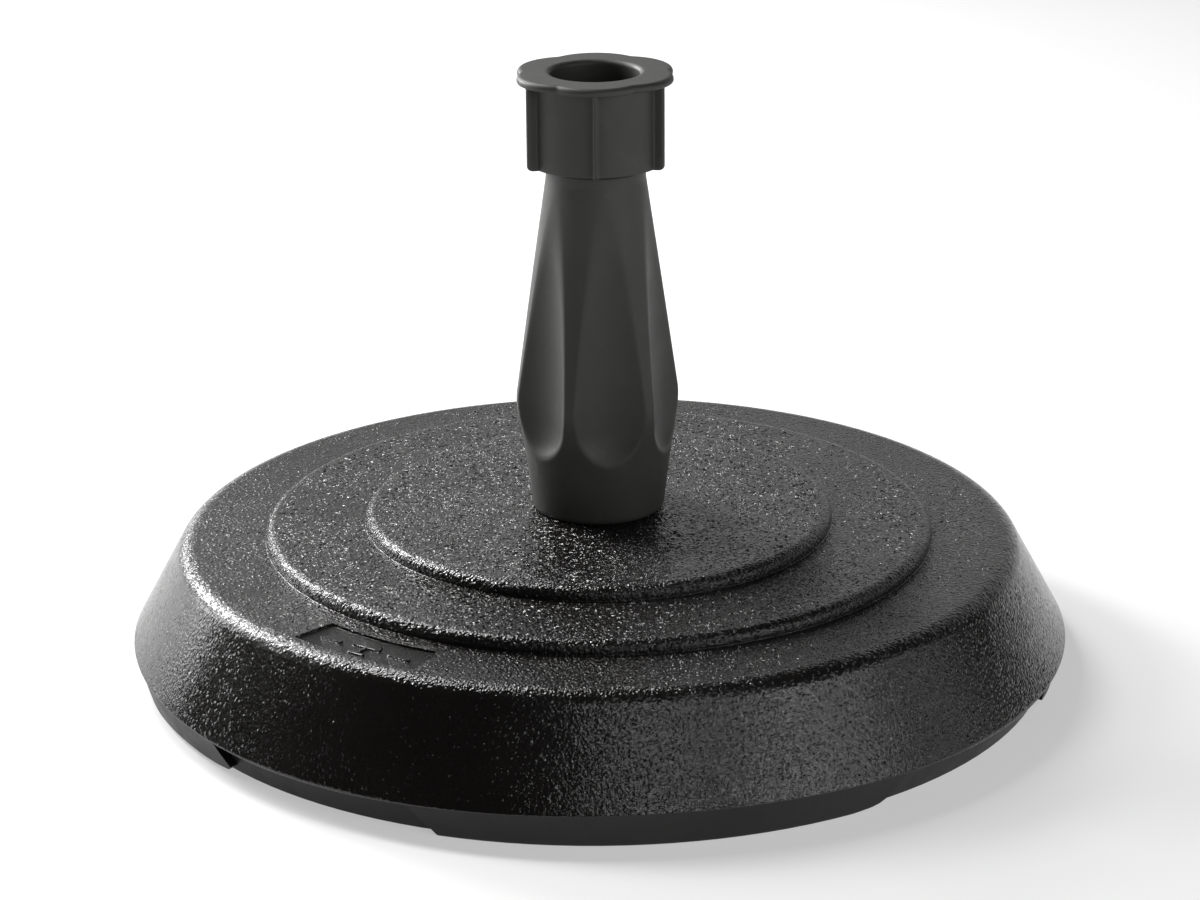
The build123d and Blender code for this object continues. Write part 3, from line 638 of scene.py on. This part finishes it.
def concrete():
    k = Tree("cast_concrete")
    sand = k.noise(900.0, 4.0, 0.65)
    stone = k.voronoi(160.0, "F1")
    stain = k.noise(12.0, 4.0, 0.6)
    pits = k.ramp(k.voronoi(240.0, "F1"), 0.0, 0.22, 1.0, 0.0)
    col = k.mix(k.ramp(stain, 0.3, 0.7), rgb(0.23, 0.225, 0.21), rgb(0.34, 0.335, 0.315))
    col = k.mix(k.math("MULTIPLY", k.ramp(stone, 0.1, 0.45), 0.35), col, rgb(0.42, 0.41, 0.39))
    # the pits are also darkened in colour: painted shade in the hollows of the bump
    col = k.mix(k.math("MULTIPLY", pits, 0.7), col, rgb(0.12, 0.12, 0.115))
    k.put(k.b.inputs["Base Color"], col)
    k.put(k.b.inputs["Roughness"], k.ramp(sand, 0.3, 0.7, 0.82, 0.96))
    k.put(k.b.inputs["Normal"], k.bump(k.math("SUBTRACT", sand, k.math("MULTIPLY", pits, 1.5)), 0.0005, 1.0))
    return k.mat


def zinc_steel():
    k = Tree("zinc_steel")
    spangle = k.voronoi(900.0, "F1")
    brushed = k.noise(1400.0, 3.0, 0.6)
    stain = k.ramp(k.noise(240.0, 4.0, 0.65), 0.55, 0.8)
    col = k.mix(k.ramp(spangle, 0.0, 0.7), rgb(0.50, 0.51, 0.52), rgb(0.62, 0.63, 0.64))
    col = k.mix(k.math("MULTIPLY", stain, 0.4), col, rgb(0.30, 0.28, 0.25))
    k.put(k.b.inputs["Base Color"], col)
    k.b.inputs["Metallic"].default_value = 1.0
    k.put(k.b.inputs["Roughness"], k.ramp(brushed, 0.3, 0.7, 0.24, 0.42))
    k.put(k.b.inputs["Normal"], k.bump(brushed, 0.00002, 1.0))
    return k.mat


def rubber():
    k = Tree("soft_rubber")
    dust = k.ramp(k.noise(300.0, 4.0, 0.65), 0.5, 0.8)
    col = k.mix(k.math("MULTIPLY", dust, 0.5), rgb(0.014, 0.014, 0.014), rgb(0.05, 0.049, 0.047))
    k.put(k.b.inputs["Base Color"], col)
    k.put(k.b.inputs["Roughness"], k.ramp(k.noise(500.0, 3.0, 0.6), 0.3, 0.7, 0.62, 0.8))
    k.put(k.b.inputs["Normal"], k.bump(k.noise(1600.0, 3.0, 0.6), 0.00006, 1.0))
    return k.mat


m_shell = grained_shell()
m_tube = satin("tube_plastic", (0.039, 0.039, 0.037), (0.048, 0.048, 0.0455), 0.46, 0.54, spec=0.38)
m_nut = satin("nut_plastic", (0.039, 0.039, 0.037), (0.048, 0.048, 0.0455), 0.48, 0.56, spec=0.38)
m_pan = satin("pan_plastic", (0.0085, 0.0082, 0.008), (0.013, 0.0125, 0.0122), 0.42, 0.54, 0.00006, 900.0, spec=0.34)
m_hub = satin("hub_plastic", (0.018, 0.018, 0.0185), (0.026, 0.026, 0.0265), 0.40, 0.52, 0.00005, 1100.0)
m_conc, m_steel, m_rubber = concrete(), zinc_steel(), rubber()

own = {shell: (m_shell, "shell_plastic"), tube: (m_tube, "tube_plastic"), nut: (m_nut, "nut_plastic")}
for ob, (mat, slot) in own.items():
    ob.data.materials.clear()
    ob.data.materials.append(mat)

cad = {"base_shell": m_shell, "base_pan": m_pan, "concrete_ballast": m_conc, "hub_socket": m_hub,
       "threaded_spigot": m_hub, "hub_washers": m_steel, "hub_screws": m_steel, "pan_screws": m_steel,
       "fill_plug": m_pan, "vent_plug": m_pan, "foot_gasket": m_rubber, "pole_tube": m_tube,
       "crown_collar": m_hub, "thrust_ring": m_hub, "retaining_ring": m_steel, "clamp_nut": m_nut,
       "jaw_1": m_hub, "jaw_2": m_hub, "jaw_3": m_hub,
       "jaw_pad_1": m_rubber, "jaw_pad_2": m_rubber, "jaw_pad_3": m_rubber}
for name, ob in nodes.items():
    mat = cad.get(name, m_hub)
    if not ob.material_slots:
        ob.data.materials.append(mat)
    for s in ob.material_slots:
        s.material = mat

# ------------------------------------------------------------------ stage
def floor():
    s = 6.0
    v = []
    rows = [(-4.0, 0.0), (3.2, 0.0)] + [(3.2 + 1.2 * math.sin(t), 1.2 - 1.2 * math.cos(t)) for t in np.linspace(0.1, math.pi / 2, 12)] + [(4.4, 3.5)]
    for y, z in rows:
        v += [(-s, y, z - 0.00005), (s, y, z - 0.00005)]
    f = [(2 * i, 2 * i + 1, 2 * i + 3, 2 * i + 2) for i in range(len(rows) - 1)]
    ob = mesh_object("studio_sweep", np.array(v), f, 60)
    k = Tree("pale_paper")
    k.put(k.b.inputs["Base Color"], k.mix(k.noise(3.0, 2.0), rgb(0.52, 0.52, 0.52), rgb(0.54, 0.54, 0.54)))
    k.b.inputs["Roughness"].default_value = 0.9
    k.b.inputs["Specular IOR Level"].default_value = 0.1
    k.b.inputs["Emission Color"].default_value = rgb(1, 1, 1)
    k.b.inputs["Emission Strength"].default_value = 0.42
    ob.data.materials.append(k.mat)
    return ob


sweep = floor()


def area(name, loc, target, sx, sy, power, color=(1, 1, 1)):
    li = bpy.data.lights.new(name, "AREA")
    li.shape = "RECTANGLE"
    li.size, li.size_y = sx, sy
    li.energy = power
    li.color = color
    ob = bpy.data.objects.new(name, li)
    bpy.context.scene.collection.objects.link(ob)
    ob.location = loc
    d = Vector(target) - Vector(loc)
    ob.rotation_euler = d.to_track_quat("-Z", "Y").to_euler()
    ob.visible_camera = False
    return ob


LIGHTS = [   # name, direction from the front in degrees, height in degrees, size in metres, watts
    ("softbox_22_225", 225, 22, 0.42, 36.5),
    ("softbox_54_225", 225, 54, 0.6, 30.0),
    ("softbox_37_240", 240, 37, 0.5, 22.147),
    ("softbox_22_245", 245, 22, 0.42, 6.608),
    ("softbox_37_210", 210, 37, 0.5, 5.59),
    ("softbox_8_240", 240, 8, 0.4, 4.912),
    ("softbox_22_45", 45, 22, 0.42, 3.9),
    ("softbox_22_65", 65, 22, 0.42, 2.0),
    ("softbox_8_60", 60, 8, 0.4, 1.9),
    ("softbox_8_90", 90, 8, 0.4, 0.9),
    ("softbox_8_30", 30, 8, 0.4, 1.761),
    ("softbox_22_85", 85, 22, 0.42, 0.885),
    ("softbox_22_265", 265, 22, 0.42, 0.845),
    ("softbox_32_10", 10, 32, 0.5, 3.3),
    ("softbox_33_26", 26, 33, 0.5, 1.3),
]
for nm, az, el, size, watts in LIGHTS:
    a, e, dist = polar(az), math.radians(el), 2.2
    area(nm, (dist * math.cos(e) * math.cos(a), dist * math.cos(e) * math.sin(a), 0.1 + dist * math.sin(e)),
         (0, 0, 0.1), size, size, watts)

w = bpy.data.worlds.new("studio")
bpy.context.scene.world = w
w.use_nodes = True
w.node_tree.nodes["Background"].inputs[0].default_value = (0.9, 0.9, 0.9, 1)
w.node_tree.nodes["Background"].inputs[1].default_value = 0.02

# ------------------------------------------------------------------ camera
cam = bpy.data.cameras.new("camera")
cam.lens, cam.sensor_width = 105.99, 36.0
cam.clip_start, cam.clip_end = 0.05, 50.0
co = bpy.data.objects.new("camera", cam)
bpy.context.scene.collection.objects.link(co)
pitch, yaw, roll = math.radians(19.537), math.radians(0.033), math.radians(-0.459)
fwd = Vector((math.sin(yaw) * math.cos(pitch), math.cos(yaw) * math.cos(pitch), -math.sin(pitch)))
right = Vector((math.cos(yaw), -math.sin(yaw), 0))
up = right.cross(fwd)
r2 = right * math.cos(roll) + up * math.sin(roll)
u2 = -right * math.sin(roll) + up * math.cos(roll)
co.matrix_world = Matrix.Translation((0, -1.7688, 0.7424)) @ Matrix((r2, u2, -fwd)).transposed().to_4x4()
bpy.context.scene.camera = co
bpy.context.scene.view_settings.view_transform = "Standard"
